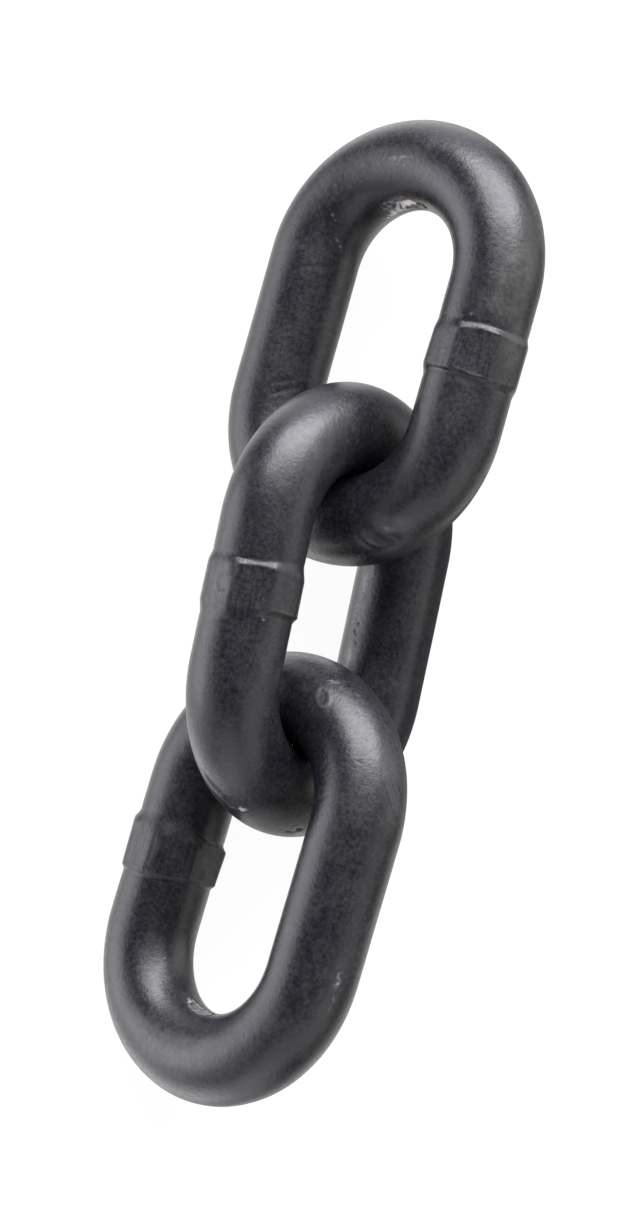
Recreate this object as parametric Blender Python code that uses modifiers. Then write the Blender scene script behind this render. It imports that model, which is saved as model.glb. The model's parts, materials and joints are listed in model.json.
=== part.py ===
"""Three links of welded round-steel lifting chain, lying taut on a level floor.

Metres, +Z up. The chain runs along X, and the origin is the bottom centre of its box.
Each link is one bent and butt-welded piece of round bar, with the trimmed weld left as a
raised collar on one leg. Neighbouring links lie rolled opposite ways, so that each one
rests on its lower leg, and each later link turns in its own plane about the wire of the
link before it.
"""
import math

import bmesh
import bpy
from mathutils import Matrix, Vector

# Driving dimensions of one link
WIRE = 0.0130
INNER_LENGTH = 0.03965
INNER_WIDTH = 0.0190

# The weld collar: a band that the trimming tool leaves in flats
COLLAR_LENGTH = 0.0066
COLLAR_RISE = 0.0006
COLLAR_CHAMFER = 0.0004

# Centre to centre along the chain: the inner length, less what leaves the bearing wires a
# gap of about 0.3 mm, although their bends are a little out of line
FIRST_STEP = INNER_LENGTH - 0.0004
LAST_STEP = INNER_LENGTH - 0.0005

# How each link lies: its place along the chain, its shift across it, its turn on the
# floor, its roll about its own length, and the leg that is welded (+1 is the +Y leg)
LAYS = (
    {"name": "first_link", "along": FIRST_STEP, "across": 0.0011,
     "turn": -0.9, "roll": -42.0, "welded": -1},
    {"name": "middle_link", "along": 0.0, "across": 0.0,
     "turn": 2.7, "roll": 44.7, "welded": 1},
    {"name": "last_link", "along": -LAST_STEP, "across": 0.0001,
     "turn": -1.8, "roll": -48.6, "welded": 1},
)

# Fineness of the solids
WIRE_SIDES = 24
COLLAR_SIDES = 16
BEND_STEPS = 17

# Heat-treated alloy steel under a thin black lacquer
LACQUER_COLOUR = (0.018, 0.018, 0.020, 1.0)
LACQUER_ROUGHNESS = 0.42
LACQUER_METALLIC = 0.35

LEG_OFFSET = (INNER_WIDTH + WIRE) / 2
STRAIGHT = INNER_LENGTH - INNER_WIDTH
CROWN_REACH = (INNER_LENGTH + WIRE) / 2
WIRE_FLAT = WIRE / 2 * math.cos(math.pi / WIRE_SIDES)
COLLAR_FLAT = WIRE / 2 + COLLAR_RISE


def clear_scene():
    """Remove whatever the open file holds."""
    for old in list(bpy.data.objects):
        bpy.data.objects.remove(old, do_unlink=True)


def new_collection(name):
    """A collection linked to the scene."""
    collection = bpy.data.collections.new(name)
    bpy.context.scene.collection.children.link(collection)
    return collection


def black_lacquered_steel(name):
    """The dark satin coat of one link."""
    material = bpy.data.materials.new(name)
    material.use_nodes = True
    shader = material.node_tree.nodes["Principled BSDF"]
    shader.inputs["Base Color"].default_value = LACQUER_COLOUR
    shader.inputs["Roughness"].default_value = LACQUER_ROUGHNESS
    shader.inputs["Metallic"].default_value = LACQUER_METALLIC
    return material


def centreline():
    """Points round the link's centreline: two straight legs joined by two half circles."""
    points = []
    for end in (1, -1):
        for step in range(BEND_STEPS + 1):
            angle = math.pi * step / BEND_STEPS
            along = end * (STRAIGHT / 2 + LEG_OFFSET * math.sin(angle))
            points.append((along, -end * LEG_OFFSET * math.cos(angle), 0.0))
    return points


def down_angle(lay):
    """Direction of straight down in the lower leg's section, from outwards towards +Z."""
    roll = math.radians(lay["roll"])
    lower_leg = 1 if roll < 0 else -1
    return math.atan2(-math.cos(roll), -lower_leg * math.sin(roll))


def wire_ring(lay):
    """The bent round bar as a closed mesh, with one flat of its section facing down."""
    curve = bpy.data.curves.new(lay["name"] + "_wire", "CURVE")
    curve.dimensions = "3D"
    curve.twist_mode = "Z_UP"
    curve.bevel_depth = WIRE / 2
    curve.bevel_resolution = (WIRE_SIDES - 4) // 2
    spline = curve.splines.new("POLY")
    points = centreline()
    spline.points.add(len(points) - 1)
    half_flat = math.pi / WIRE_SIDES
    for point, place in zip(spline.points, points):
        point.co = (*place, 1.0)
        point.tilt = half_flat - down_angle(lay)
    spline.use_cyclic_u = True
    wire = bpy.data.objects.new(curve.name, curve)
    bpy.context.scene.collection.objects.link(wire)
    evaluated = wire.evaluated_get(bpy.context.evaluated_depsgraph_get())
    mesh = bpy.data.meshes.new_from_object(evaluated)
    mesh.name = lay["name"]
    bpy.data.objects.remove(wire)
    bpy.data.curves.remove(curve)
    return mesh


def weld_collar(lay, cutters):
    """The raised band round the welded leg, a prism whose flats follow the trimming."""
    mesh = bpy.data.meshes.new(lay["name"] + "_collar")
    solid = bmesh.new()
    radius = COLLAR_FLAT / math.cos(math.pi / COLLAR_SIDES)
    half_side = math.pi / COLLAR_SIDES
    lower_leg = 1 if lay["roll"] < 0 else -1
    spin = down_angle(lay) * lower_leg + half_side
    along_leg = Matrix.Rotation(math.radians(90), 4, "Y") @ Matrix.Rotation(spin, 4, "Z")
    bmesh.ops.create_cone(
        solid, cap_ends=True, segments=COLLAR_SIDES, radius1=radius, radius2=radius,
        depth=COLLAR_LENGTH, matrix=along_leg)
    solid.to_mesh(mesh)
    solid.free()
    collar = bpy.data.objects.new(mesh.name, mesh)
    cutters.objects.link(collar)
    chamfer = collar.modifiers.new("chamfer", "BEVEL")
    chamfer.width = COLLAR_CHAMFER
    chamfer.segments = 1
    chamfer.limit_method = "ANGLE"
    chamfer.angle_limit = math.radians(60)
    collar.hide_render = True
    collar.display_type = "WIRE"
    return collar


def lie_on_floor(lay):
    """Place and turn of a link's centre, resting on its lower leg or on that leg's collar."""
    lower_leg = 1 if lay["roll"] < 0 else -1
    rests_on = COLLAR_FLAT if lay["welded"] == lower_leg else WIRE_FLAT
    height = LEG_OFFSET * abs(math.sin(math.radians(lay["roll"]))) + rests_on
    centre = Matrix.Translation((lay["along"], lay["across"], height))
    turn = Matrix.Rotation(math.radians(lay["turn"]), 4, "Z")
    roll = Matrix.Rotation(math.radians(lay["roll"]), 4, "X")
    return centre @ turn @ roll


def pivot_frame(link_lay, carrier_lay):
    """A frame on the carrier's wire at its end bend, with Z square to the link's plane."""
    on_wire = lie_on_floor(carrier_lay) @ Vector((-CROWN_REACH, 0.0, 0.0))
    link_frame = lie_on_floor(link_lay).to_3x3().to_4x4()
    return Matrix.Translation(on_wire) @ link_frame


def make_link(lay, chain, cutters):
    """One link with its collar joined on, still standing at the chain's own origin."""
    link = bpy.data.objects.new(lay["name"], wire_ring(lay))
    chain.objects.link(link)
    link.data.materials.append(black_lacquered_steel(lay["name"] + "_lacquer"))
    collar = weld_collar(lay, cutters)
    collar.parent = link
    collar.location = (0.0, lay["welded"] * LEG_OFFSET, 0.0)
    union = link.modifiers.new("weld", "BOOLEAN")
    union.operation = "UNION"
    union.solver = "EXACT"
    union.object = collar
    link.data.shade_smooth()
    link.data.set_sharp_from_angle(angle=math.radians(30))
    return link


def new_empty(name, collection, parent, world):
    """A named empty under its parent, at a place given in the world."""
    empty = bpy.data.objects.new(name, None)
    empty.empty_display_size = WIRE
    collection.objects.link(empty)
    empty.parent = parent
    bpy.context.view_layer.update()
    empty.matrix_world = world
    bpy.context.view_layer.update()
    return empty


def box_of(objects):
    """Lowest and highest corner of the objects' finished shapes."""
    depsgraph = bpy.context.evaluated_depsgraph_get()
    corners = []
    for item in objects:
        evaluated = item.evaluated_get(depsgraph)
        corners += [evaluated.matrix_world @ vertex.co for vertex in evaluated.data.vertices]
    low = Vector([min(corner[axis] for corner in corners) for axis in range(3)])
    high = Vector([max(corner[axis] for corner in corners) for axis in range(3)])
    return low, high


def build_chain():
    """All links on their pivots, under one empty at the bottom centre of their box."""
    chain = new_collection("lifting_chain_length")
    cutters = new_collection("cutters")
    root = new_empty("chain_origin", chain, None, Matrix.Identity(4))
    carrier = root
    carrier_lay = None
    links = []
    for lay in LAYS:
        if carrier_lay:
            frame = pivot_frame(lay, carrier_lay)
            carrier = new_empty(lay["name"] + "_pivot", chain, carrier, frame)
        link = make_link(lay, chain, cutters)
        link.parent = carrier
        bpy.context.view_layer.update()
        link.matrix_world = lie_on_floor(lay)
        bpy.context.view_layer.update()
        links.append(link)
        carrier_lay = lay
    low, high = box_of(links)
    root.location = (-(low.x + high.x) / 2, -(low.y + high.y) / 2, 0.0)
    bpy.context.view_layer.update()
    return links


def main():
    clear_scene()
    build_chain()


if __name__ == "__main__":
    main()
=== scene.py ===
"""Three welded links of black lifting chain, dressed for the studio floor.

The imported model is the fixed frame. Each of its three links is stood for by a detailed piece
that lies in the same place: a ring of round bar pulled out into a link, with the trimmed weld
standing proud of one leg, and the dents, worn spots and scratches of a used chain.
"""
import json
import math

import bmesh
import bpy
import numpy as np
from bpy.props import FloatProperty, FloatVectorProperty, PointerProperty
from mathutils import Matrix, Vector


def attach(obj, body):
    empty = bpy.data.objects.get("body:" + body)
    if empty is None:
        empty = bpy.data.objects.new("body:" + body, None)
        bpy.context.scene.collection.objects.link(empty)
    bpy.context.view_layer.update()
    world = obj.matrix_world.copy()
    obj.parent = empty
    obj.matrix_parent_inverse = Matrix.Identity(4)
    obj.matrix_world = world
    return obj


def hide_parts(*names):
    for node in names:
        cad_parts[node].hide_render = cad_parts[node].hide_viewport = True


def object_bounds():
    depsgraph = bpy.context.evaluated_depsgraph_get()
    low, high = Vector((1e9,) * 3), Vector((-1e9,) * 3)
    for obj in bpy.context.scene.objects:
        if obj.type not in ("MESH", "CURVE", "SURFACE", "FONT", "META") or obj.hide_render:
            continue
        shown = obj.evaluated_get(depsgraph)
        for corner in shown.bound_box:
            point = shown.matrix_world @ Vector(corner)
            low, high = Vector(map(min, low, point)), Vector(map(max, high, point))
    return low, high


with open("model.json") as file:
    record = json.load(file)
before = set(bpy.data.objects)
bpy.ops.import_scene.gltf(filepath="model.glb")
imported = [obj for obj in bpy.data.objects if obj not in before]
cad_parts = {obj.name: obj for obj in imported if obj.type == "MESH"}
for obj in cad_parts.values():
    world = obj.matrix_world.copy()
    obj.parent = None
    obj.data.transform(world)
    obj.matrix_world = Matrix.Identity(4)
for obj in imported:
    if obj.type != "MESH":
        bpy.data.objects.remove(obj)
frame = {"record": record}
cad_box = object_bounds()

bl_info = {
    "name": "Lifting chain links",
    "version": (1, 0, 0),
    "blender": (4, 5, 0),
    "location": "3D View > Sidebar > Chain",
    "description": "Builds three welded links of black lifting chain on a pale studio floor",
    "category": "Add Mesh",
}

MM = 0.001

# How fine a link's skin is: rings and strips of a quarter to a third of a millimetre, and rings
# half as wide in the weld's zone, by its reach in mm to either side. The ring that a link is
# pulled out of has an odd number of them in each half, so that none lies where it is pulled
# apart, and those of its two bends are split once more.
BEND_RINGS = 254
BAR_SIDES = 132
WELD_ZONE = 5.6
WELD_CUTS = 84
BESIDE_WELD_CUTS = 16
PLAIN_LEG_CUTS = 60

# How each link lies: its centre in mm, its turn on the floor and its roll about its length
LAYS = {
    "first_link": {"centre": (39.20840, 0.44839, 17.15048), "turn": -0.9, "roll": -42.0},
    "middle_link": {"centre": (-0.04160, -0.65161, 17.69871), "turn": 2.7, "roll": 44.7},
    "last_link": {"centre": (-39.19160, -0.55161, 19.10160), "turn": -1.8, "roll": -48.6},
}

# The trimmed welds, on the +Y leg (1) or the -Y leg (-1), all by degrees round it. At either end
# of the band: where it ends in mm along the leg, how long the step down to the bar is, and the
# lip of metal left on it. The flats are the trimming tool's own, each by its distance from the
# bar's middle in mm. The roundness is how far their corners are gone, as a share, and the taper
# is how much they rise along the leg.
WELDS = {
    "first_link": {
        "leg": -1,
        "high": ((325, 3.9, 1.5, 0.0), (7, 3.6, 1.2, 0.02), (26, 3.75, 1.0, 0.03),
                 (57, 3.9, 1.0, 0.03), (80, 3.6, 1.1, 0.01), (95, 3.45, 1.8, 0.0),
                 (122, 3.3, 2.4, 0.0), (145, 3.5, 1.6, 0.0), (230, 3.4, 1.2, 0.0)),
        "low": ((325, -3.4, 1.8, 0.0), (7, -3.3, 1.2, 0.03), (30, -3.5, 1.1, 0.06),
                (57, -3.4, 1.1, 0.05), (81, -3.0, 0.8, 0.02), (110, -2.8, 0.8, 0.0),
                (126, -2.8, 1.4, 0.0), (145, -3.0, 2.0, 0.0), (230, -3.2, 1.3, 0.0)),
        "flats": ((12, 6.63), (61, 6.62), (106, 6.66), (145, 6.80), (180, 6.72), (217, 6.70),
                  (254, 6.70), (291, 6.72), (325, 6.80)),
        "roundness": 0.45,
        "taper": ((145, -0.035), (200, 0.0), (325, 0.01), (60, 0.0)),
    },
    "middle_link": {
        "leg": 1,
        "high": ((310, 3.95, 1.6, 0.0), (329, 3.8, 1.8, 0.0), (6, 3.6, 1.6, 0.0),
                 (20, 3.6, 1.0, 0.03), (46, 3.8, 0.9, 0.04), (66, 4.0, 1.4, 0.0),
                 (110, 3.9, 2.0, 0.0), (130, 3.7, 2.4, 0.0), (220, 3.4, 1.2, 0.0)),
        "low": ((310, -3.1, 2.2, 0.0), (331, -3.3, 2.4, 0.0), (5, -3.7, 2.2, 0.0),
                (21, -3.6, 2.0, 0.0), (50, -3.1, 1.4, 0.0), (64, -2.7, 1.2, 0.02),
                (85, -2.5, 0.8, 0.05), (123, -2.75, 0.8, 0.08), (134, -2.8, 1.2, 0.05),
                (220, -3.1, 1.2, 0.0)),
        "flats": ((351, 6.64), (41, 6.62), (88, 6.66), (126, 6.94), (160, 6.84), (200, 6.74),
                  (240, 6.70), (280, 6.70), (314, 6.82)),
        "roundness": 0.4,
        "taper": ((310, -0.012), (40, 0.0), (130, -0.008), (220, 0.0)),
    },
    "last_link": {
        "leg": 1,
        "high": ((44, 3.85, 1.6, 0.0), (66, 3.5, 2.2, 0.0), (84, 3.3, 2.6, 0.0),
                 (108, 3.2, 3.0, 0.0), (133, 3.0, 3.4, 0.0), (160, 2.8, 1.6, 0.02),
                 (180, 2.5, 1.0, 0.05), (224, 2.2, 1.2, 0.0), (300, 2.8, 1.2, 0.0),
                 (0, 3.6, 1.2, 0.0)),
        "low": ((44, -4.0, 0.9, 0.0), (70, -4.0, 0.8, 0.02), (112, -3.9, 1.2, 0.02),
                (150, -3.4, 1.2, 0.03), (175, -3.5, 0.9, 0.05), (193, -3.5, 0.7, 0.03),
                (224, -3.5, 1.0, 0.0), (300, -3.6, 1.2, 0.0)),
        "flats": ((45, 6.98), (84, 6.66), (109, 6.84), (134, 6.62), (183, 6.62), (236, 6.80),
                  (270, 6.96), (296, 7.04), (318.6, 7.10), (342, 6.98), (10, 6.86)),
        "roundness": 0.35,
        "taper": ((44, 0.02), (134, 0.0), (224, 0.045), (300, 0.0)),
    },
}

# Where a link hangs on the one before it, its inner bend is worn to the other's shape. All in
# mm: the worn seat's middle along the bar, its reach, its fading edge, the gap that it leaves,
# and how far the bend is drawn out at most.
HANGS_ON = {"middle_link": "first_link", "last_link": "middle_link"}
SEAT = {"along": 45.8, "reach": 3.8, "edge": 3.8, "gap": 0.045, "most": 1.2}

# Marks of use, pressed in or standing up. Each is a form, its place in mm along the bar and
# degrees round it, its length and width in mm, its turn in degrees and its height in mm.
MARKS = {
    "first_link": (
        ("bowl", 116.7, 180, 13.0, 10.0, 0, 0.14),
        ("chip", 43.6, 164, 2.4, 1.2, 0, -0.30),
        ("bowl", 45.4, 173, 3.2, 2.0, 0, -0.30),
        ("bowl", 51.8, 168, 1.1, 0.9, 0, 0.28),
        ("bowl", 49.2, 174, 1.4, 0.9, 0, 0.24),
        ("chip", 50.0, 158, 3.8, 1.8, 10, -0.07),
        ("bowl", 53.6, 163, 1.4, 0.9, 0, 0.14),
        ("bowl", 126.9, 48, 6.4, 2.8, -43, 0.16),
        ("bowl", 125.4, 38, 6.0, 2.4, -55, -0.18),
        ("bowl", 127.4, 30, 3.2, 1.7, -80, -0.10),
        ("groove", 123.9, 38, 4.8, 0.9, -66, -0.10),
        ("bowl", 63.6, 127, 0.7, 0.5, 0, -0.08),
        ("groove", 67.5, 150, 2.6, 0.7, 53, -0.10),
        ("groove", 72.9, 135, 5.0, 0.7, 103, -0.05),
        ("groove", 47.0, 99, 2.4, 0.5, -10, -0.06),
        ("bowl", 15.5, 75, 0.7, 0.6, 0, 0.08),
        ("groove", 91.0, 139, 5.4, 0.7, 117, -0.09),
        ("groove", 89.6, 138, 5.4, 0.8, 117, -0.08),
        ("bowl", 88.4, 146, 3.0, 1.0, 117, -0.06),
    ),
    "middle_link": (
        ("bowl", 116.7, 180, 13.0, 10.0, 0, 0.14),
        ("chip", 105.6, 354, 6.0, 1.3, 30, -0.16),
        ("groove", 106.3, 348, 5.5, 0.8, 32, 0.09),
        ("chip", 107.8, 9, 3.8, 2.2, 30, -0.18),
        ("bowl", 108.7, 16, 1.2, 1.0, 0, 0.12),
        ("bowl", 114.2, 32, 1.6, 0.8, 0, -0.08),
        ("chip", 115.6, 31, 2.2, 0.8, 15, -0.14),
        ("chip", 116.4, 41, 1.8, 1.0, 0, -0.16),
        ("chip", 80.8, 2, 2.8, 2.2, 0, -0.10),
        ("groove", 79.0, 15, 2.8, 0.9, 0, -0.20),
        ("bowl", 82.1, 354, 1.2, 0.9, 0, -0.10),
        ("bowl", 84.9, 62, 0.6, 0.6, 0, 0.08),
        ("bowl", 89.4, 351, 0.8, 0.7, 0, 0.06),
        ("groove", 79.3, 58, 1.8, 0.5, 0, -0.07),
        ("bowl", 17.2, 186, 4.4, 1.4, 0, -0.06),
        ("bowl", 14.4, 195, 2.4, 1.2, 10, 0.04),
        ("bowl", 11.4, 196, 3.0, 1.4, 10, -0.05),
        ("bowl", 9.6, 187, 1.4, 0.9, 0, -0.07),
        ("bowl", 8.4, 191, 1.2, 0.9, 0, -0.08),
        ("bowl", 7.4, 186, 1.2, 0.8, 0, -0.07),
        ("bowl", 5.2, 194, 2.6, 1.6, 0, -0.06),
        ("bowl", 3.0, 188, 2.0, 1.2, 0, 0.05),
        ("bowl", 62.0, 30, 4.2, 1.0, 40, -0.04),
    ),
    "last_link": (
        ("ring", 38.2, 65, 3.3, 1.9, -25, 0.10),
        ("groove", 39.3, 40, 2.0, 0.6, 53, 0.10),
        ("bowl", 41.0, 70, 2.2, 1.4, 0, -0.08),
        ("bowl", 37.8, 40, 0.9, 0.7, 0, -0.07),
        ("bowl", 36.4, 26, 0.9, 0.7, 20, -0.08),
        ("bowl", 34.4, 39, 0.7, 0.6, 0, -0.06),
        ("bowl", 31.0, 38, 0.8, 0.6, 0, -0.06),
        ("bowl", 28.5, 51, 1.0, 0.7, 60, -0.07),
        ("ring", 25.4, 5, 5.6, 1.8, 26, 0.08),
        ("bowl", 25.4, 5, 4.6, 1.3, 26, -0.09),
        ("chip", 114.2, 166, 6.4, 2.2, -11, -0.14),
        ("chip", 78.8, 160, 2.0, 1.1, 30, -0.10),
        ("groove", 81.6, 105, 7.0, 0.8, 0, -0.08),
        ("groove", 81.2, 98, 5.0, 0.6, 0, -0.04),
        ("groove", 82.2, 150, 5.0, 0.6, 0, -0.04),
        ("groove", 0.4, 16, 5.6, 0.7, -8, -0.06),
    ),
}

# Where the coat is filmed over by dust and grease, scuffed pale, tinted by rust, worn to bright
# metal or packed with dirt, by link and kind of wear. The grime also darkens, as painted shade,
# the bends where the links bear on each other. The rows are laid out as the marks are, with the
# strength of the wear at the end.
WEAR = {
    ("first_link", "film"): (
        ("bowl", 49.5, 107, 17.0, 6.0, 0, 0.6),
        ("bowl", 128.0, 49, 7.0, 3.4, -43, 0.6),
        ("bowl", 21.5, 36, 15.0, 7.0, 0, 0.7),
        ("bowl", 30.5, 350, 16.0, 5.0, 0, 0.6),
        ("bowl", 13.0, 8, 9.0, 5.0, 0, 0.45),
    ),
    ("first_link", "scuff"): (
        ("groove", 47.0, 96, 5.4, 0.7, 4, 0.62),
        ("groove", 48.6, 100, 4.2, 0.6, -6, 0.50),
        ("bowl", 47.6, 101, 6.0, 3.4, 10, 0.42),
        ("groove", 45.6, 105, 3.4, 0.6, 20, 0.48),
        ("groove", 51.2, 103, 3.0, 0.6, 40, 0.46),
        ("bowl", 54.6, 100, 5.0, 2.2, 60, 0.36),
        ("bowl", 59.5, 103, 4.0, 2.0, 70, 0.34),
        ("groove", 67.5, 150, 3.2, 0.8, 53, 0.55),
        ("bowl", 66.0, 141, 1.8, 0.7, 110, 0.45),
        ("groove", 72.9, 135, 5.0, 0.7, 103, 0.40),
        ("bowl", 15.5, 75, 1.0, 0.9, 0, 0.62),
        ("bowl", 127.0, 47, 6.4, 2.2, -43, 0.46),
        ("groove", 123.9, 38, 4.6, 0.5, -66, 0.40),
    ),
    ("first_link", "rust"): (
        ("chip", 42.4, 151, 3.0, 0.9, 5, 0.6),
        ("bowl", 49.0, 153, 6.0, 1.8, 5, 0.55),
        ("bowl", 61.5, 176, 9.0, 2.6, 0, 0.55),
        ("bowl", 63.2, 124, 1.0, 0.9, 0, 0.85),
        ("bowl", 63.8, 131, 0.8, 0.7, 0, 0.8),
    ),
    ("first_link", "bare"): (
        ("chip", 46.8, 162, 2.6, 1.6, 0, 0.86),
        ("chip", 49.6, 166, 3.4, 1.8, 20, 0.74),
        ("bowl", 51.2, 175, 5.0, 3.0, 0, 0.74),
        ("chip", 53.4, 181, 1.8, 1.2, 30, 0.84),
        ("bowl", 55.4, 184, 2.6, 1.6, 0, 0.66),
        ("bowl", 52.6, 160, 4.6, 2.0, 8, 0.48),
    ),
    ("first_link", "grime_and_shade"): (
        ("groove", 50.4, 170, 2.4, 0.6, 70, 0.9),
        ("groove", 52.6, 172, 2.0, 0.5, 80, 0.8),
        ("chip", 43.6, 164, 2.2, 1.2, 0, 1.0),
        ("bowl", 127.4, 30, 3.2, 1.5, -80, 0.9),
        ("bowl", 125.2, 38, 5.6, 1.4, -60, 0.8),
        # A dark band across the step at the low end of the weld
        ("bowl", 6.6, 50, 1.3, 8.0, 0, 0.85),
        # Painted shade where the middle link bears on this bend
        ("bowl", 116.7, 180, 18.0, 12.0, 0, 1.0),
    ),
    ("middle_link", "film"): (
        ("bowl", 112.5, 42, 10.0, 5.0, 0, 0.8),
        ("bowl", 81.0, 356, 6.4, 5.0, 0, 0.9),
        ("bowl", 62.5, 54, 9.0, 5.0, 0, 0.4),
        ("bowl", 10.6, 192, 24.0, 4.2, 0, 1.0),
    ),
    ("middle_link", "scuff"): (
        ("groove", 106.0, 349, 5.8, 0.6, 32, 0.55),
        ("bowl", 84.7, 62, 1.2, 1.0, 0, 0.55),
        ("bowl", 89.4, 351, 1.2, 1.0, 0, 0.55),
        ("bowl", 16.0, 191, 8.0, 2.8, 0, 0.74),
        ("bowl", 5.0, 192, 6.4, 2.8, 0, 0.74),
        ("bowl", 10.4, 197, 9.0, 1.8, 0, 0.56),
        ("groove", 12.0, 187, 6.0, 0.7, 0, 0.50),
    ),
    ("middle_link", "bare"): (
        ("chip", 108.7, 16, 1.5, 1.1, 60, 1.0),
        ("bowl", 107.9, 12, 1.0, 0.6, 30, 0.7),
    ),
    ("middle_link", "grime_and_shade"): (
        ("chip", 107.6, 8, 4.4, 3.0, 30, 0.9),
        ("chip", 105.4, 354, 6.6, 1.5, 30, 0.85),
        ("chip", 115.6, 31, 2.0, 0.7, 15, 0.9),
        ("chip", 116.4, 41, 1.6, 0.9, 0, 0.9),
        ("chip", 79.0, 15, 2.6, 0.6, 0, 0.8),
        ("ring", 80.8, 2, 2.6, 2.0, 0, 0.6),
        ("bowl", 83.2, 52, 2.4, 1.4, 20, 0.8),
        ("bowl", 13.6, 186, 2.2, 0.8, 0, 0.6),
        ("chip", 9.7, 187, 1.3, 0.7, 40, 0.8),
        ("chip", 8.6, 191, 1.0, 0.9, 0, 0.8),
        ("bowl", 8.0, 187, 1.4, 0.7, 70, 0.8),
        ("chip", 7.0, 185, 1.2, 0.6, 20, 0.8),
        ("bowl", 5.6, 188, 1.6, 0.6, 0, 0.6),
        # Painted shade at the two bends where the first and the last link bear on this one
        ("bowl", 45.8, 180, 18.0, 12.0, 0, 1.0),
        ("bowl", 116.7, 180, 18.0, 12.0, 0, 1.0),
    ),
    ("last_link", "film"): (
        ("bowl", 81.8, 184, 9.0, 5.0, 0, 0.8),
        ("bowl", 116.0, 88, 26.0, 8.0, 0, 0.9),
        ("bowl", 101.0, 70, 24.0, 6.0, 0, 0.6),
    ),
    ("last_link", "scuff"): (
        ("ring", 38.2, 65, 3.3, 1.9, -25, 0.42),
        ("bowl", 37.4, 61, 1.0, 0.8, 0, 0.5),
        ("groove", 39.4, 39, 2.6, 0.6, 53, 0.66),
        ("ring", 25.4, 5, 5.6, 1.8, 26, 0.35),
        ("bowl", 2.7, 21, 2.8, 0.8, -8, 0.45),
        ("bowl", 1.0, 17, 2.6, 1.1, -8, 0.60),
        ("bowl", 141.8, 14, 2.2, 1.1, -8, 0.78),
        ("bowl", 140.2, 13, 2.0, 1.0, 0, 0.62),
        ("bowl", 138.9, 13, 2.2, 0.9, 0, 0.50),
        ("bowl", 1.6, 11, 2.4, 1.1, 60, 0.42),
        ("bowl", 0.4, 16, 9.0, 2.6, -8, 0.34),
        ("bowl", 2.7, 45, 1.0, 0.8, 0, 0.50),
        ("groove", 81.4, 112, 6.0, 0.6, 0, 0.4),
        ("bowl", 113.8, 167, 5.6, 1.9, -11, 0.55),
        ("ring", 114.2, 166, 5.4, 1.8, -11, 0.70),
        ("bowl", 81.6, 318, 7.0, 3.0, 0, 0.36),
    ),
    ("last_link", "bare"): (
        ("bowl", 110.6, 168, 1.8, 1.3, 0, 0.6),
    ),
    ("last_link", "grime_and_shade"): (
        ("chip", 41.0, 70, 2.8, 1.7, 0, 0.6),
        ("chip", 37.8, 40, 0.8, 0.6, 0, 0.9),
        ("chip", 36.4, 26, 0.8, 0.6, 20, 0.9),
        ("chip", 34.4, 39, 0.6, 0.5, 0, 0.9),
        ("chip", 31.0, 38, 0.7, 0.5, 0, 0.9),
        ("chip", 28.5, 51, 0.9, 0.6, 60, 0.9),
        ("chip", 78.8, 160, 2.2, 1.2, 30, 0.9),
        ("groove", 81.6, 105, 6.4, 0.6, 0, 0.7),
        ("ring", 114.2, 166, 6.8, 2.7, -11, 0.8),
        ("chip", 80.4, 214, 3.4, 1.6, 20, 0.6),
        # Painted shade where this link bears on the middle one
        ("bowl", 45.8, 180, 18.0, 12.0, 0, 1.0),
    ),
}

WEAR_KINDS = ("film", "scuff", "rust", "bare", "grime_and_shade")

# The patterns of the coat, each by its size in mm, its detail and its roughness: grain of the
# scale, dabs of coat, clouds of thinner coat, and specks of dust. The specks, and the lines of
# the trimming tool by their length and distance apart in mm, are drawn two or three times as
# coarse as the real ones, so that they show.
PATTERNS = {"grain": (0.6, 2.0, 0.6), "dabs": (1.7, 4.0, 0.6), "clouds": (6.0, 5.0, 0.6),
            "dust": (0.25, 1.0, 0.5)}
TOOL_LINES = (4.0, 0.45)

# What the patterns bring about: the pattern, where in it the effect begins and is full, and
# how strong it is at either end
EFFECTS = {
    "thinness": ("clouds", 0.45, 0.70, 0.0, 1.0),
    "grain_tone": ("grain", 0.32, 0.70, 0.6, 1.45),
    "dab_tone": ("dabs", 0.35, 0.65, 0.88, 1.15),
    "dusty": ("dust", 0.60, 0.72, 0.0, 0.022),
    "cloud_gloss": ("clouds", 0.3, 0.7, -0.04, 0.05),
    "grain_gloss": ("grain", 0.3, 0.7, 0.30, 0.42),
    "line_gloss": ("tool_lines", 0.35, 0.65, -0.04, 0.12),
    "film_thickness": ("dabs", 0.35, 0.65, 0.2, 0.6),
}

# How wear breaks up along the grain: how much high grain holds it off, how much its amount
# brings it on, what it starts from, and from where to where it sets in. How dull the film is,
# and how much of the bare steel shines as metal.
BREAK_UP = {"grain": -2.5, "amount": 1.4, "start": 0.65, "begins": -0.15, "full": 0.45}
FILM_DULLING = 0.16
BARE_METAL = 0.5

# The camera of the photograph: its place, its directions, its lens and its sensor's width. All
# lengths are in mm.
CAMERA_PLACE = (-20.738, 51.909, 527.663)
CAMERA_RIGHT = (0.2534, -0.9613, 0.1084)
CAMERA_LOOK = (0.0414, -0.1012, -0.9940)
CAMERA_LENS = 107.36
CAMERA_SENSOR = 36.0

# The softbox over the first link, seen from the chain: its bearing and height, its width and
# height, all in degrees, its distance in metres, and its brightness, where 1 is plain white
SOFTBOX = {"bearing": 5, "height": 30.5, "wide": 62, "high": 38, "away": 1.0, "bright": 10.5}
SOFTBOX_TINT = (1.0, 0.98, 1.03)

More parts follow.
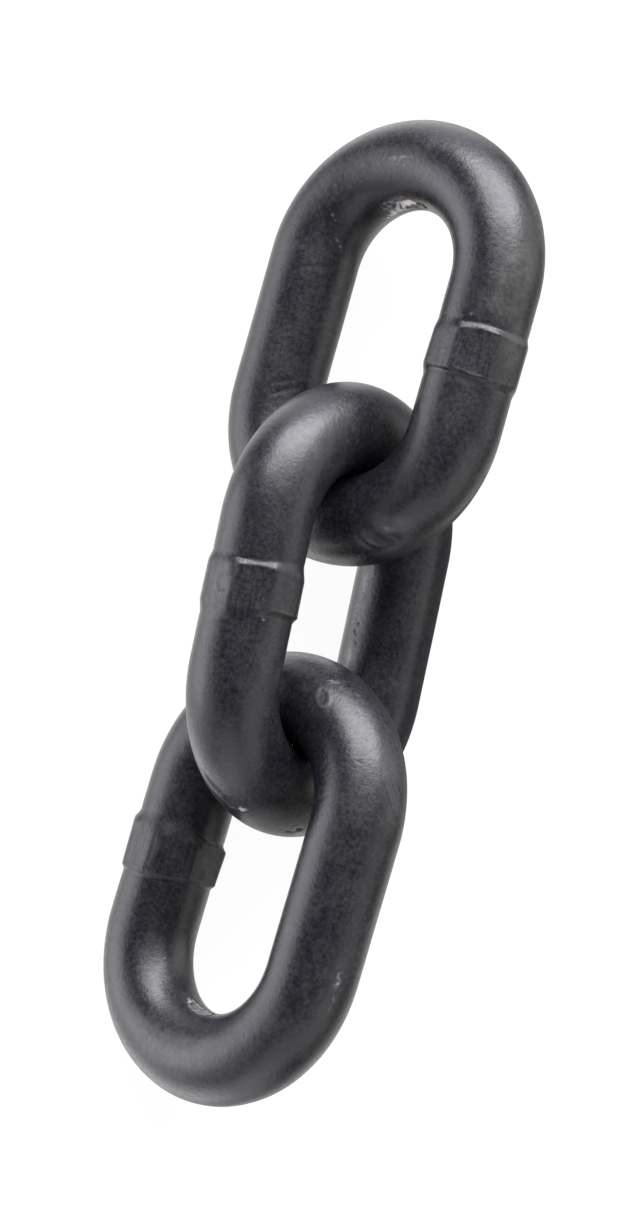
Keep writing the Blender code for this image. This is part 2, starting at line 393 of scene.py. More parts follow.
# The pale floor, walls and reflectors that the coat mirrors besides, as soft round patches:
# bearing, height and radius in degrees, and brightness
REFLECTORS = (
    (0, -90, 75, 0.9),
    (90, -60, 35, 0.5),
    (20, -35, 35, 1.7),
    (150, -35, 35, 2.0),
    (240, -35, 35, 0.8),
    (95, -9, 33, 3.7),
    (180, -10, 35, 1.7),
    (120, 10, 35, 1.65),
    (298, 8, 35, 1.95),
    (0, 30, 60, 1.78),
    (180, 30, 35, 1.59),
    (240, 30, 35, 1.53),
)

# The tint of their light: warm from below, then cool higher up, and yellowish from the -Y
# side. Each change has its axis, and how far a direction points along it where the change
# begins and is full.
LOW_TINT = (1.04, 1.0, 0.97, 1.0)
TINT_CHANGES = (
    ("Z", -0.9, -0.3, (0.99, 0.97, 1.05, 1.0)),
    ("Y", -0.3, -0.8, (1.01, 1.0, 0.96, 1.0)),
)

# The radius of the floor sheet in metres, and how many corners its round edge has
FLOOR_RADIUS = 2.5
FLOOR_CORNERS = 96

# A painted reflection of the floor's shade beside the leg that lies on the floor: a dim strip
# that leans away from it and that only the gloss of the coat sees, by where it begins and ends
# along the chain, where it starts across the chain and how wide it is, all in mm, its lean in
# degrees and its brightness
FLOOR_SHADE_STRIP = {"along": (-26.0, 24.0), "across": -15.0, "wide": 19.0, "lean": 46, "bright": 0.15}


def linear(hex_colour):
    """An sRGB hex colour as the linear colour that Blender works in."""
    channels = []
    for start in (1, 3, 5):
        value = int(hex_colour[start:start + 2], 16) / 255
        channels.append(value / 12.92 if value <= 0.04045 else ((value + 0.055) / 1.055) ** 2.4)
    return (*channels, 1.0)


class ChainSizes(bpy.types.PropertyGroup):
    """Sizes of one link."""

    bar: FloatProperty(
        name="Bar diameter", description="Thickness of the round bar",
        default=12.97 * MM, min=0.001, unit="LENGTH")
    inner_length: FloatProperty(
        name="Inner length", description="Length of the opening, which is the pitch",
        default=39.58 * MM, min=0.005, unit="LENGTH")
    inner_width: FloatProperty(
        name="Inner width", description="Width of the opening between the legs",
        default=19.03 * MM, min=0.002, unit="LENGTH")
    unevenness: FloatProperty(
        name="Unevenness", description="How far the forged skin swells and sinks",
        default=0.05 * MM, min=0.0, unit="LENGTH")
    roughness_depth: FloatProperty(
        name="Skin depth", description="Depth of the small bumps of the scale under the coat",
        default=0.012 * MM, min=0.0, unit="LENGTH")


class ChainColours(bpy.types.PropertyGroup):
    """Colours of the coat, and of what shows where it has gone."""

    lacquer: FloatVectorProperty(
        name="Lacquer", description="Black coat over the heat-treated steel",
        default=linear("#15151a"), size=4, min=0.0, max=1.0, subtype="COLOR")
    thin_lacquer: FloatVectorProperty(
        name="Thin lacquer", description="Coat where the warm steel below shows through",
        default=linear("#212124"), size=4, min=0.0, max=1.0, subtype="COLOR")
    bare_steel: FloatVectorProperty(
        name="Bare steel", description="Steel rubbed bright by what hung on it",
        default=linear("#cbc8c4"), size=4, min=0.0, max=1.0, subtype="COLOR")
    rust: FloatVectorProperty(
        name="Rust", description="Thin rust at worn edges",
        default=linear("#6a4a36"), size=4, min=0.0, max=1.0, subtype="COLOR")
    scuff: FloatVectorProperty(
        name="Scuff", description="Pale rubbed lacquer and dust in scratches",
        default=linear("#9a9da0"), size=4, min=0.0, max=1.0, subtype="COLOR")
    film: FloatVectorProperty(
        name="Film", description="Thin grey-green film of dust and grease",
        default=linear("#5b5d58"), size=4, min=0.0, max=1.0, subtype="COLOR")
    # Besides dirt in the pits, this colour paints the shade where the links bear on each other
    grime_and_shade: FloatVectorProperty(
        name="Grime", description="Black dirt packed between the links and in the pits",
        default=linear("#0c0c0d"), size=4, min=0.0, max=1.0, subtype="COLOR")


class StageSettings(bpy.types.PropertyGroup):
    """The studio around the chain."""

    floor: FloatVectorProperty(
        name="Floor", description="Colour of the floor sheet",
        default=linear("#fafafa"), size=4, min=0.0, max=1.0, subtype="COLOR")
    light: FloatProperty(
        name="Light", description="How bright the softbox and the reflectors are",
        default=1.0, min=0.0, subtype="FACTOR")


def deselect_all():
    """Leave nothing selected, because an operator acts on all that is."""
    if bpy.context.mode != "OBJECT":
        bpy.ops.object.mode_set(mode="OBJECT")
    bpy.ops.object.select_all(action="DESELECT")


def select(obj, kind, wanted):
    """In edit mode, select the vertices, edges or faces that a test accepts."""
    bpy.ops.mesh.select_mode(type=kind)
    bpy.ops.mesh.select_all(action="DESELECT")
    shape = bmesh.from_edit_mesh(obj.data)
    items = {"VERT": shape.verts, "EDGE": shape.edges, "FACE": shape.faces}[kind]
    for item in items:
        if wanted(item):
            item.select_set(True)
    shape.select_flush_mode()
    bmesh.update_edit_mesh(obj.data)


def split_bends(link, half):
    """Split every step along the two bends, from ring to ring, in two."""
    least_turn = 0.2 * math.pi / BEND_RINGS

    def bend_angle(vert):
        return math.atan2(vert.co.y, abs(vert.co.x) - half)

    def follows_bend(edge):
        first, second = edge.verts
        turn = abs(bend_angle(first) - bend_angle(second))
        return first.co.x * second.co.x > 0 and turn > least_turn

    select(link, "EDGE", follows_bend)
    bpy.ops.mesh.subdivide(number_cuts=1)


def part_leg(link, leg, place):
    """Cut one ring right through a leg, at a place along it in metres."""
    hair = 0.01 * MM

    def crosses(face):
        along = [vert.co.x for vert in face.verts]
        on_leg = all(vert.co.y * leg > 0 for vert in face.verts)
        return on_leg and min(along) < place - hair and max(along) > place + hair

    select(link, "FACE", crosses)
    bpy.ops.mesh.bisect(plane_co=(place, 0.0, 0.0), plane_no=(1.0, 0.0, 0.0))


def cut_leg(link, leg, low, high, cuts):
    """Cut a stretch of a leg into rings, between two places along it in metres."""
    lean = 0.15 * MM

    def runs_along(edge):
        first, second = edge.verts
        ends = sorted((first.co.x, second.co.x))
        return first.co.y * leg > 0 and abs(ends[0] - low) < lean and abs(ends[1] - high) < lean

    select(link, "EDGE", runs_along)
    bpy.ops.mesh.subdivide(number_cuts=cuts)


def bent_bar(name, sizes, weld_leg):
    """A plain link: a ring of bar, pulled apart in the middle into two straight legs."""
    leg_offset = (sizes.inner_width + sizes.bar) / 2
    half = (sizes.inner_length - sizes.inner_width) / 2
    deselect_all()
    bpy.ops.mesh.primitive_torus_add(
        major_radius=leg_offset, minor_radius=sizes.bar / 2,
        major_segments=BEND_RINGS, minor_segments=BAR_SIDES)
    link = bpy.context.object
    link.name = name
    link.data.name = name
    bpy.ops.object.mode_set(mode="EDIT")
    for end in (1, -1):
        select(link, "VERT", lambda vert: vert.co.x * end > 0)
        bpy.ops.transform.translate(value=(end * half, 0.0, 0.0))
    split_bends(link, half)
    zone = WELD_ZONE * MM
    part_leg(link, weld_leg, -zone)
    part_leg(link, weld_leg, zone)
    reach = half + leg_offset * math.sin(math.pi / BEND_RINGS)
    cut_leg(link, -weld_leg, -reach, reach, PLAIN_LEG_CUTS)
    cut_leg(link, weld_leg, -zone, zone, WELD_CUTS)
    cut_leg(link, weld_leg, -reach, -zone, BESIDE_WELD_CUTS)
    cut_leg(link, weld_leg, zone, reach, BESIDE_WELD_CUTS)
    bpy.ops.object.mode_set(mode="OBJECT")
    return link


class BarPlaces:
    """Where every vertex of a link lies on its bar: mm along it and degrees round it.

    The mm begin at the -X end of the -Y leg and run towards +X. The degrees begin on the
    outside of the link, go over its top and reach its inside at 180.
    """

    def __init__(self, mesh, sizes):
        points = np.empty(len(mesh.vertices) * 3, np.float32)
        mesh.vertices.foreach_get("co", points)
        points = points.reshape(-1, 3).astype(float) / MM
        self.radius = sizes.bar / MM / 2
        self.offset = (sizes.inner_width + sizes.bar) / MM / 2
        self.straight = (sizes.inner_length - sizes.inner_width) / MM
        self.around = 2 * self.straight + 2 * math.pi * self.offset
        half = self.straight / 2
        self.x = points[:, 0]
        nearest = np.clip(self.x, -half, half)
        outward_x, outward_y = self.x - nearest, points[:, 1]
        self.leg = np.where(outward_y > 0, 1, -1)
        self.round = np.degrees(np.arctan2(
            points[:, 2], np.hypot(outward_x, outward_y) - self.offset)) % 360
        bend = np.arctan2(outward_y, outward_x)
        self.along = np.select(
            [self.x > half, self.x < -half, outward_y < 0],
            [self.straight + self.offset * (bend + math.pi / 2),
             2 * self.straight + math.pi * self.offset
             + self.offset * (bend % (2 * math.pi) - math.pi / 2),
             nearest + half],
            self.straight + math.pi * self.offset + half - nearest)
        self.on_bend = np.abs(self.x) > half

    def from_mark(self, along, degrees, turn):
        """Mm from a mark's middle to every vertex, along the mark and across it."""
        away = (self.along - along + self.around / 2) % self.around - self.around / 2
        stretch = 1 + self.radius * math.cos(math.radians(degrees)) / self.offset
        away = away * np.where(self.on_bend, stretch, 1.0)
        turned = np.radians((self.round - degrees + 180) % 360 - 180) * self.radius
        cosine, sine = math.cos(math.radians(turn)), math.sin(math.radians(turn))
        return away * cosine + turned * sine, turned * cosine - away * sine

    def shape_of(self, form, along, degrees, length, width, turn):
        """How strongly a mark shows at every vertex, from 0 to 1."""
        run, side = self.from_mark(along, degrees, turn)
        run_share, side_share = run / (length / 2), side / (width / 2)
        share = np.hypot(run_share, side_share)
        if form == "ring":
            line = 0.22
            line_share = line / (min(length, width) / 2)
            return np.exp(-((share - 1) / line_share) ** 2)
        if form == "groove":
            tapered = np.clip(1 - run_share ** 2, 0, 1) ** 0.5
            return np.exp(-2 * side_share ** 2) * tapered
        if form == "chip":
            edge = 0.4
            # Two crossing waves of one to two millimetres, so that no edge is smooth
            ragged = 0.10 * np.sin(5.1 * run + 3.3 * side) + 0.08 * np.sin(2.9 * run - 6.7 * side)
            return np.clip((1 - share - ragged) / edge, 0, 1)
        return np.clip(1 - share ** 2, 0, 1) ** 2


def weigh(link, name, weights):
    """Paint a weight on every vertex that has one, as a vertex group."""
    faintest = 1e-4
    group = link.vertex_groups.new(name=name)
    for index in np.flatnonzero(weights > faintest):
        group.add([int(index)], float(weights[index]), "REPLACE")
    return group.name


def displace(link, name, heights):
    """Push the skin out or in by a height in mm at every vertex."""
    lowest = 1e-4
    for sign, side in ((1, "_out"), (-1, "_in")):
        part = np.clip(heights * sign, 0, None)
        most = part.max()
        if most < lowest:
            continue
        push = link.modifiers.new(name + side, "DISPLACE")
        push.vertex_group = weigh(link, name + side, part / most)
        push.mid_level = 0.0
        push.strength = sign * most * MM
        bpy.ops.object.modifier_apply(modifier=push.name)


def roughen(link, name, grain, depth):
    """Sink the skin unevenly by a cloudy pattern, with its grain and depth in metres."""
    high_in_clouds = 0.8
    texture = bpy.data.textures.new(name, "CLOUDS")
    texture.noise_scale = grain
    texture.noise_depth = 2
    swell = link.modifiers.new(name, "DISPLACE")
    swell.texture = texture
    swell.mid_level = high_in_clouds
    swell.strength = depth
    bpy.ops.object.modifier_apply(modifier=swell.name)


def wear_seat(link, places, neighbour):
    """Draw the inner bend out to the link that it hangs on, all but a hair."""
    run, side = places.from_mark(SEAT["along"], 180, 0)
    past_reach = np.hypot(run, side) - SEAT["reach"]
    seat = link.modifiers.new("seat", "SHRINKWRAP")
    seat.target = neighbour
    seat.wrap_method = "PROJECT"
    seat.use_positive_direction = True
    seat.project_limit = SEAT["most"] * MM
    seat.offset = SEAT["gap"] * MM
    seat.vertex_group = weigh(link, "seat", 1 - step_up(past_reach, SEAT["edge"]))
    bpy.ops.object.modifier_apply(modifier=seat.name)


def read_round(rows, column, degrees):
    """A column of a table by degrees round the leg, read at any angle."""
    return np.interp(degrees, [row[0] for row in rows], [row[column] for row in rows], period=360)


def step_up(distance, length):
    """0 to 1 over a step's length, with eased ends."""
    share = np.clip(distance / length + 0.5, 0, 1)
    return share * share * (3 - 2 * share)


def weld_section(places, weld):
    """How far the weld's trimmed flats lie from the bar's middle at every vertex, in mm.

    A soft minimum picks the nearest flat and eases the corners between them. The section
    then lies part way from there to a round one, which is a little fuller.
    """
    softness = 10
    usual_distance = 7
    widest_lean = 1.2
    fullness = 0.05
    nearness = 0
    for angle, distance in weld["flats"]:
        lean = np.radians((places.round - angle + 180) % 360 - 180)
        flat = distance / np.cos(np.clip(lean, -widest_lean, widest_lean))
        nearness = nearness + np.exp(-softness * (flat - usual_distance))
    flats = usual_distance - np.log(nearness) / softness
    round_one = read_round(weld["flats"], 1, places.round) + fullness
    section = flats + weld["roundness"] * (round_one - flats)
    return section + read_round(weld["taper"], 1, places.round) * places.x


def weld_heights(places, weld):
    """How far the trimmed weld stands off the plain bar at every vertex, in mm."""
    lip_width = 0.28
    toe_width = 0.3
    toe_depth = 0.02
    margin = 0.5
    heights = weld_section(places, weld) - places.radius
    for name, side in (("high", 1), ("low", -1)):
        end, step, lip = (read_round(weld[name], column, places.round) for column in (1, 2, 3))
        heights = heights * step_up(side * (end - places.x), step)
        # The lip stands back from the end, and the toe is a faint groove just past it
        ridge = end - side * (0.25 * step + 0.1)
        heights = heights + lip * np.exp(-((places.x - ridge) / lip_width) ** 2)
        toe = end + side * 0.55 * step
        heights = heights - toe_depth * np.exp(-((places.x - toe) / toe_width) ** 2)
    near_weld = (places.leg == weld["leg"]) & (np.abs(places.x) < WELD_ZONE + margin)
    return np.where(near_weld, heights, 0.0)


def mark_heights(places, rows):
    """How far the marks of use stand out or are pressed in at every vertex, in mm."""
    heights = np.zeros(len(places.x))
    for form, along, degrees, length, width, turn, height in rows:
        heights += places.shape_of(form, along, degrees, length, width, turn) * height
    return heights


def map_bar(link, places):
    """A UV map in mm: along the bar and round it."""
    layer = link.data.uv_layers[0]
    layer.name = "along_the_bar"
    corners = np.empty(len(link.data.loops), np.int32)
    link.data.loops.foreach_get("vertex_index", corners)
    sizes = np.empty(len(link.data.polygons), np.int32)
    link.data.polygons.foreach_get("loop_total", sizes)
    first = np.repeat(np.concatenate(([0], np.cumsum(sizes)[:-1])), sizes)
    mapped = []
    girth = 2 * math.pi * places.radius
    for values, period in ((places.along, places.around), (places.round / 360 * girth, girth)):
        corner = values[corners]
        start = corner[first]
        mapped.append(start + (corner - start + period / 2) % period - period / 2)
    layer.data.foreach_set("uv", np.stack(mapped, 1).astype(np.float32).ravel())


def paint(link, name, amount):
    """Keep a number for every vertex, for the material to read."""
    attribute = link.data.attributes.new(name, "FLOAT", "POINT")
    attribute.data.foreach_set("value", amount.astype(np.float32))


def paint_wear(link, places, name):
    """How filmed, scuffed, rusty, bare or dirty the coat is, each as an attribute."""
    for kind in WEAR_KINDS:
        amount = np.zeros(len(places.x))
        for form, along, degrees, length, width, turn, strength in WEAR.get((name, kind), ()):
            shape = places.shape_of(form, along, degrees, length, width, turn)
            amount = np.maximum(amount, shape ** 0.5 * strength)
        paint(link, kind, amount)


def set_on_floor(link, lay):
    """Lay the link where the frame has it."""
    place = Matrix.Translation(Vector(lay["centre"]) * MM)
    turn = Matrix.Rotation(math.radians(lay["turn"]), 4, "Z")
    roll = Matrix.Rotation(math.radians(lay["roll"]), 4, "X")
    link.matrix_world = place @ turn @ roll
    deselect_all()
    link.select_set(True)
    bpy.context.view_layer.objects.active = link
    bpy.ops.object.transform_apply(location=True, rotation=True, scale=True)


def press_into_box(link):
    """Press flat the few hundredths of a millimetre that stand out of the frame's box."""
    bpy.ops.object.mode_set(mode="EDIT")
    for axis in range(3):
        press = [1.0, 1.0, 1.0]
        press[axis] = 0.0
        for side, wall in zip((-1, 1), (cad_box[0][axis], cad_box[1][axis])):
            centre = [0.0, 0.0, 0.0]
            centre[axis] = wall
            select(link, "VERT", lambda vert: (vert.co[axis] - wall) * side > 0)
            bpy.ops.transform.resize(value=press, center_override=centre)
    bpy.ops.object.mode_set(mode="OBJECT")


def add(tree, kind, inputs=None, **settings):
    """One node with its settings. An input is a value, or another node's output.

    A Mix of colours has its share at input 0, its colours at 6 and 7, its result at output 2.
    """
    node = tree.nodes.new("ShaderNode" + kind)
    for name, value in settings.items():
        setattr(node, name, value)
    for name, value in (inputs or {}).items():
        if isinstance(value, bpy.types.NodeSocket):
            tree.links.new(value, node.inputs[name])
        else:
            node.inputs[name].default_value = value
    return node


def coat_patterns(tree):
    """The patterns of the coat and what each of them brings about, all by name."""
    place = add(tree, "TexCoord").outputs["Object"]
    patterns = {}
    for name, (size, detail, roughness) in PATTERNS.items():
        patterns[name] = add(tree, "TexNoise", {
            "Vector": place, "Scale": 1 / (size * MM), "Detail": detail,
            "Roughness": roughness}).outputs["Fac"]
    length, apart = TOOL_LINES
    bar_place = add(tree, "UVMap", uv_map="along_the_bar").outputs["UV"]
    tool_place = add(tree, "VectorMath", {
        0: bar_place, 1: (1 / length, 1 / apart, 1.0)}, operation="MULTIPLY").outputs[0]
    patterns["tool_lines"] = add(tree, "TexNoise", {
        "Vector": tool_place, "Scale": 1.0, "Detail": 3.0, "Roughness": 0.6}).outputs["Fac"]
    for name, (pattern, begins, full, least, most) in EFFECTS.items():
        patterns[name] = add(tree, "MapRange", {
            "Value": patterns[pattern], "From Min": begins, "From Max": full,
            "To Min": least, "To Max": most}).outputs["Result"]
    patterns["trimmed"] = add(tree, "Attribute", attribute_name="trimmed").outputs["Fac"]
    return patterns


def coat_colour(tree, patterns, colours):
    """Colour of the coat: paler where it is thin, with its speckle and specks of dust."""
    coat = add(tree, "Mix", {
        0: patterns["thinness"], 6: colours.lacquer, 7: colours.thin_lacquer},
        data_type="RGBA").outputs[2]
    speckle = add(tree, "Math", {
        0: patterns["grain_tone"], 1: patterns["dab_tone"]}, operation="MULTIPLY").outputs[0]
    speckled = add(tree, "VectorMath", {0: coat, "Scale": speckle}, operation="SCALE").outputs[0]
    return add(tree, "Mix", {
        0: patterns["dusty"], 6: speckled, 7: colours.scuff}, data_type="RGBA").outputs[2]


def coat_gloss(tree, patterns):
    """Roughness of the coat: duller in clouds, and along the tool lines of the weld."""
    gloss = add(tree, "Math", {
        0: patterns["cloud_gloss"], 1: patterns["grain_gloss"]}, operation="ADD").outputs[0]
    return add(tree, "Math", {
        0: patterns["line_gloss"], 1: patterns["trimmed"], 2: gloss},
        operation="MULTIPLY_ADD").outputs[0]


def lay_film(tree, patterns, colours, colour, gloss):
    """Colour and roughness under the film, which lies thick and thin with the dabs."""
    amount = add(tree, "Attribute", attribute_name="film").outputs["Fac"]
    film = add(tree, "Math", {
        0: amount, 1: patterns["film_thickness"]}, operation="MULTIPLY").outputs[0]
    colour = add(tree, "Mix", {0: film, 6: colour, 7: colours.film}, data_type="RGBA").outputs[2]
    gloss = add(tree, "Math", {
        0: film, 1: FILM_DULLING, 2: gloss}, operation="MULTIPLY_ADD").outputs[0]
    return colour, gloss


def lay_wear(tree, patterns, colours, colour, gloss):
    """Colour, roughness and metal of the worn coat.

    Wear takes the low places of the grain first, and all of it at full strength. Each kind has
    its colour, how much it dulls the gloss, and how fast it fades as its amount falls.
    """
    # The grime's dark colour is also painted shade at the bends where the links bear on each
    # other
    kinds = {"scuff": (colours.scuff, 0.15, 2.0), "rust": (colours.rust, 0.25, 2.0),
             "bare": (colours.bare_steel, 0.05, 0.7), "grime_and_shade": (colours.grime_and_shade, 0.40, 1.5)}
    low_grain = add(tree, "Math", {
        0: patterns["grain"], 1: BREAK_UP["grain"], 2: BREAK_UP["start"]},
        operation="MULTIPLY_ADD").outputs[0]
    for kind, (tint, dulling, fading) in kinds.items():
        amount = add(tree, "Attribute", attribute_name=kind).outputs["Fac"]
        reached = add(tree, "Math", {
            0: amount, 1: BREAK_UP["amount"], 2: low_grain}, operation="MULTIPLY_ADD").outputs[0]
        broken = add(tree, "MapRange", {
            "Value": reached, "From Min": BREAK_UP["begins"],
            "From Max": BREAK_UP["full"]}).outputs["Result"]
        opaque = add(tree, "Math", {0: amount, 1: fading}, operation="POWER").outputs[0]
        share = add(tree, "Math", {0: broken, 1: opaque}, operation="MULTIPLY").outputs[0]
        colour = add(tree, "Mix", {0: share, 6: colour, 7: tint}, data_type="RGBA").outputs[2]
        gloss = add(tree, "Math", {
            0: share, 1: dulling, 2: gloss}, operation="MULTIPLY_ADD").outputs[0]
        if kind == "bare":
            metal = add(tree, "Math", {0: share, 1: BARE_METAL}, operation="MULTIPLY").outputs[0]
    return colour, gloss, metal


def coat_bumps(tree, patterns):
    """Bumps of the grain, of the dabs and of the weld's tool lines, by their depth in mm."""
    lines = add(tree, "Math", {
        0: patterns["tool_lines"], 1: patterns["trimmed"]}, operation="MULTIPLY").outputs[0]
    below = {}
    for height, depth in ((patterns["grain"], 0.045), (patterns["dabs"], 0.02), (lines, 0.04)):
        bump = add(tree, "Bump", {"Height": height, "Distance": depth * MM, **below})
        below = {"Normal": bump.outputs["Normal"]}
    return bump.outputs["Normal"]


def black_lacquered_forged_steel(colours):
    """Heat-treated alloy steel, scaled by the furnace and dipped in thin black lacquer.

    The scale under the coat leaves a fine grain, so the gloss is soft and speckled. The coat
    is thin enough to look paler in cloudy patches. The trimmed welds keep the fine lines of
    the trimming tool, and the wear breaks up along the grain.
    """
    material = bpy.data.materials.new("black_lacquered_forged_steel")
    material.use_nodes = True
    tree = material.node_tree
    shader = tree.nodes["Principled BSDF"]
    patterns = coat_patterns(tree)
    colour = coat_colour(tree, patterns, colours)
    gloss = coat_gloss(tree, patterns)
    colour, gloss = lay_film(tree, patterns, colours, colour, gloss)
    colour, gloss, metal = lay_wear(tree, patterns, colours, colour, gloss)
    tree.links.new(colour, shader.inputs["Base Color"])
    tree.links.new(metal, shader.inputs["Metallic"])
    tree.links.new(gloss, shader.inputs["Roughness"])
    tree.links.new(coat_bumps(tree, patterns), shader.inputs["Normal"])
    return material


def body_of(node):
    """The frame's body that holds a node."""
    for body, members in frame["record"]["behaviour"]["bodies"].items():
        if node in members:
            return body
    raise ValueError(f"no body holds {node}")


def forge_link(name):
    """One link of the chain, from plain bar to worn and lacquered."""
    fully_trimmed = 0.12
    sizes = bpy.context.scene.chain_sizes
    weld = WELDS[name]
    link = bent_bar(name + "_worn", sizes, weld["leg"])
    places = BarPlaces(link.data, sizes)
    map_bar(link, places)
    weld_height = weld_heights(places, weld)
    displace(link, "weld", weld_height)
    paint(link, "trimmed", np.clip(weld_height / fully_trimmed, 0, 1))
    displace(link, "marks", mark_heights(places, MARKS[name]))
    roughen(link, "forged_swell", grain=6 * MM, depth=sizes.unevenness)
    roughen(link, "scale_bumps", grain=1.4 * MM, depth=sizes.roughness_depth)
    paint_wear(link, places, name)
    set_on_floor(link, LAYS[name])
    press_into_box(link)
    if name in HANGS_ON:
        wear_seat(link, places, bpy.data.objects[HANGS_ON[name] + "_worn"])
    link.data.shade_smooth()
    link.vertex_groups.clear()
    finish = bpy.data.materials.get("black_lacquered_forged_steel")
    if finish is None:
        finish = black_lacquered_forged_steel(bpy.context.scene.chain_colours)
    link.data.materials.append(finish)
    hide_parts(name)
    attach(link, body_of(name))


class ForgeFirstLink(bpy.types.Operator):
    """Build the first link, farthest from the viewer's feet, welded on its raised leg"""

    bl_idname = "chain.forge_first_link"
    bl_label = "Forge first link"

    def execute(self, context):
        forge_link("first_link")
        return {"FINISHED"}


class ForgeMiddleLink(bpy.types.Operator):
    """Build the middle link, which hangs on the first and carries the last"""

    bl_idname = "chain.forge_middle_link"
    bl_label = "Forge middle link"

    def execute(self, context):
        forge_link("middle_link")
        return {"FINISHED"}


class ForgeLastLink(bpy.types.Operator):
    """Build the last link, which rests on its weld"""

    bl_idname = "chain.forge_last_link"
    bl_label = "Forge last link"

    def execute(self, context):
        forge_link("last_link")
        return {"FINISHED"}


def place_camera():
    """The camera at the photograph's angle."""
    data = bpy.data.cameras.new("photo_camera")
    data.lens = CAMERA_LENS
    data.sensor_width = CAMERA_SENSOR
    data.clip_start = 10 * MM
    camera = bpy.data.objects.new("photo_camera", data)
    bpy.context.scene.collection.objects.link(camera)
    look = Vector(CAMERA_LOOK).normalized()
    right = Vector(CAMERA_RIGHT)
    right = (right - look * right.dot(look)).normalized()
    up = right.cross(look)
    turned = Matrix((right, up, -look)).transposed().to_4x4()
    camera.matrix_world = Matrix.Translation(Vector(CAMERA_PLACE) * MM) @ turned
    bpy.context.scene.camera = camera


def towards(bearing, height):
    """The direction that lies at a bearing and a height in degrees."""
    about, up = math.radians(bearing), math.radians(height)
    return Vector((math.cos(up) * math.cos(about), math.cos(up) * math.sin(about), math.sin(up)))


def softbox(settings):
    """The large soft lamp that faces the middle of the chain."""
    data = bpy.data.lights.new("key_softbox", "AREA")
    data.shape = "RECTANGLE"
    data.size = 2 * SOFTBOX["away"] * math.tan(math.radians(SOFTBOX["wide"] / 2))
    data.size_y = 2 * SOFTBOX["away"] * math.tan(math.radians(SOFTBOX["high"] / 2))
    data.energy = SOFTBOX["bright"] * settings.light * math.pi * data.size * data.size_y
    data.color = SOFTBOX_TINT
    lamp = bpy.data.objects.new("key_softbox", data)
    bpy.context.scene.collection.objects.link(lamp)
    chain_middle = Vector((0.0, 0.0, 20 * MM))
    away = towards(SOFTBOX["bearing"], SOFTBOX["height"])
    lamp.location = chain_middle + away * SOFTBOX["away"]
    lamp.rotation_euler = away.to_track_quat("Z", "Y").to_euler()
    lamp.visible_camera = False


def opal_acrylic(name, colour, glow):
    """A matt opal sheet lit from behind, so evenly that nothing shows on it."""
    material = bpy.data.materials.new(name)
    material.use_nodes = True
    shader = material.node_tree.nodes["Principled BSDF"]
    shader.inputs["Base Color"].default_value = linear("#454545")
    shader.inputs["Roughness"].default_value = 0.9
    shader.inputs["Specular IOR Level"].default_value = 0.0
    shader.inputs["Emission Color"].default_value = colour
    shader.inputs["Emission Strength"].default_value = glow
    return material


def studio_floor(settings):
    """A wide back-lit sheet, so bright that hardly any shadow shows on it."""
    deselect_all()
    bpy.ops.mesh.primitive_circle_add(
        vertices=FLOOR_CORNERS, radius=FLOOR_RADIUS, fill_type="NGON")
    floor = bpy.context.object
    floor.name = "studio_floor"
    floor.data.materials.append(opal_acrylic("backlit_opal_acrylic", settings.floor, 1.0))
    floor.visible_glossy = False
    floor.visible_diffuse = False


def painted_floor_shade(settings):
    """A painted reflection of shade: the dim strip beside the middle link, there for the gloss of
    the coat alone.
    """
    start, end = FLOOR_SHADE_STRIP["along"]
    lean = math.radians(FLOOR_SHADE_STRIP["lean"])
    half = FLOOR_SHADE_STRIP["wide"] / 2
    lift = 0.05
    deselect_all()
    bpy.ops.mesh.primitive_plane_add(size=MM)
    shade_strip = bpy.context.object
    shade_strip.name = "painted_floor_shade"
    shade_strip.scale = (end - start, FLOOR_SHADE_STRIP["wide"], 1.0)
    shade_strip.rotation_euler = (-lean, 0.0, 0.0)
    across = FLOOR_SHADE_STRIP["across"] - half * math.cos(lean)
    shade_strip.location = Vector(((start + end) / 2, across, half * math.sin(lean) + lift)) * MM
    # Its dim glow is painted shade, which darkens what the side of the lower leg mirrors
    shade_strip.data.materials.append(opal_acrylic("painted_shade_acrylic", settings.floor, FLOOR_SHADE_STRIP["bright"]))
    shade_strip.visible_camera = False
    shade_strip.visible_diffuse = False
    shade_strip.visible_shadow = False


def reflector_glow(tree, direction, strength):
    """How bright the soft reflectors are in every direction."""
    full_share = 0.3
    glow = None
    for bearing, height, radius, brightness in REFLECTORS:
        facing = add(tree, "VectorMath", {
            0: direction, 1: towards(bearing, height)}, operation="DOT_PRODUCT")
        patch = add(tree, "MapRange", {
            "Value": facing.outputs["Value"],
            "From Min": math.cos(math.radians(radius)),
            "From Max": math.cos(math.radians(full_share * radius)),
            "To Max": brightness * strength}, interpolation_type="SMOOTHSTEP")
        if glow is None:
            glow = patch.outputs["Result"]
        else:
            glow = add(tree, "Math", {
                0: glow, 1: patch.outputs["Result"]}, operation="ADD").outputs[0]
    return glow


def room_tint(tree, direction):
    """Tint of the light in every direction, by how far it points up or to the -Y side."""
    compass = add(tree, "SeparateXYZ", {"Vector": direction})
    tint = LOW_TINT
    for axis, begins, full, changed in TINT_CHANGES:
        share = add(tree, "MapRange", {
            "Value": compass.outputs[axis], "From Min": begins,
            "From Max": full}).outputs["Result"]
        tint = add(tree, "Mix", {0: share, 6: tint, 7: changed}, data_type="RGBA").outputs[2]
    return tint


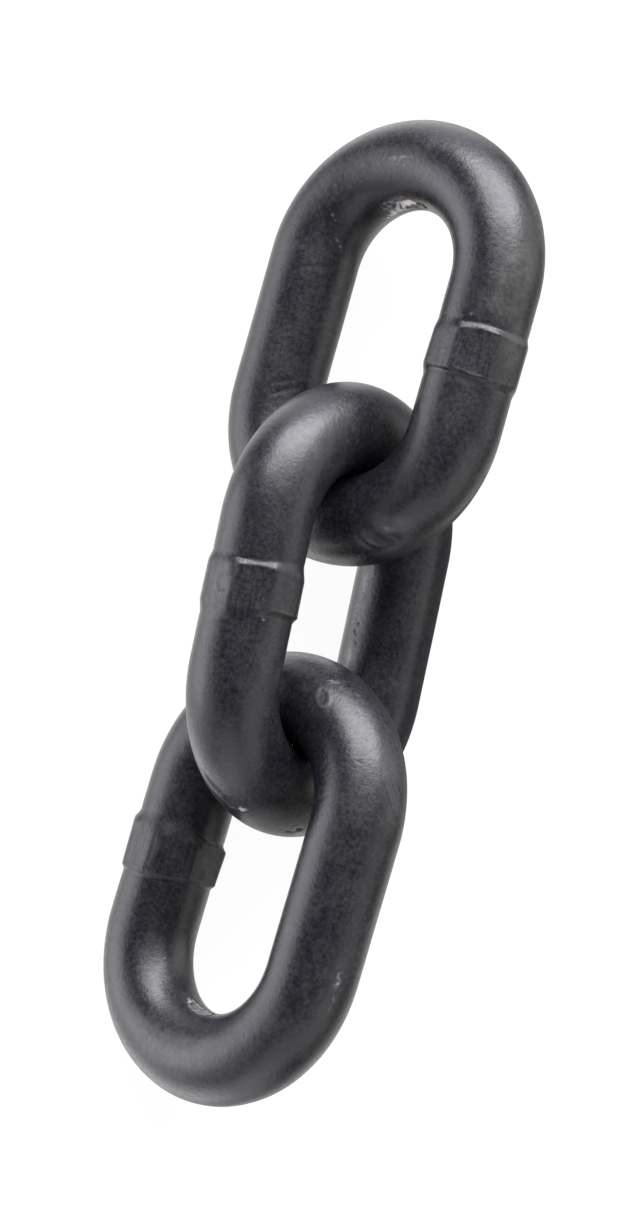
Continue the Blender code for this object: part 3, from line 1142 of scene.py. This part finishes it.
def studio_room(settings):
    """The room around the stage: plain and pale to the viewer, with the soft reflectors."""
    world = bpy.data.worlds.new("studio_room")
    world.use_nodes = True
    tree = world.node_tree
    direction = add(tree, "TexCoord").outputs["Generated"]
    light = add(tree, "Background", {
        "Color": room_tint(tree, direction),
        "Strength": reflector_glow(tree, direction, settings.light)})
    view = add(tree, "Background", {"Color": settings.floor})
    seen = add(tree, "LightPath").outputs["Is Camera Ray"]
    room = add(tree, "MixShader", {0: seen, 1: light.outputs[0], 2: view.outputs[0]})
    tree.links.new(room.outputs[0], tree.nodes["World Output"].inputs["Surface"])
    bpy.context.scene.world = world


class LayStage(bpy.types.Operator):
    """Lay the pale floor, light it softly and set up the camera of the photograph"""

    bl_idname = "chain.lay_stage"
    bl_label = "Lay stage"

    def execute(self, context):
        settings = context.scene.chain_stage
        studio_floor(settings)
        # The painted shade of the floor beside the middle link, seen only in the coat's gloss
        painted_floor_shade(settings)
        studio_room(settings)
        softbox(settings)
        context.scene.view_settings.view_transform = "Standard"
        place_camera()
        return {"FINISHED"}


class ChainPanel(bpy.types.Panel):
    """The chain's parts and settings in the sidebar"""

    bl_idname = "CHAIN_PT_links"
    bl_label = "Lifting chain"
    bl_space_type = "VIEW_3D"
    bl_region_type = "UI"
    bl_category = "Chain"

    def draw(self, context):
        for name in GROUPS:
            group = getattr(context.scene, name)
            box = self.layout.box()
            for setting in group.__annotations__:
                box.prop(group, setting)
        for operator in OPERATORS:
            self.layout.operator(operator.bl_idname)


OPERATORS = (LayStage, ForgeFirstLink, ForgeMiddleLink, ForgeLastLink)
CLASSES = (ChainSizes, ChainColours, StageSettings, *OPERATORS, ChainPanel)
GROUPS = {"chain_sizes": ChainSizes, "chain_colours": ChainColours, "chain_stage": StageSettings}


def register():
    for one_class in CLASSES:
        bpy.utils.register_class(one_class)
    for name, group in GROUPS.items():
        setattr(bpy.types.Scene, name, PointerProperty(type=group))


def unregister():
    for name in GROUPS:
        delattr(bpy.types.Scene, name)
    for one_class in reversed(CLASSES):
        bpy.utils.unregister_class(one_class)


def main():
    register()
    bpy.ops.chain.lay_stage()
    bpy.ops.chain.forge_first_link()
    bpy.ops.chain.forge_middle_link()
    bpy.ops.chain.forge_last_link()


if __name__ == "__main__":
    main()
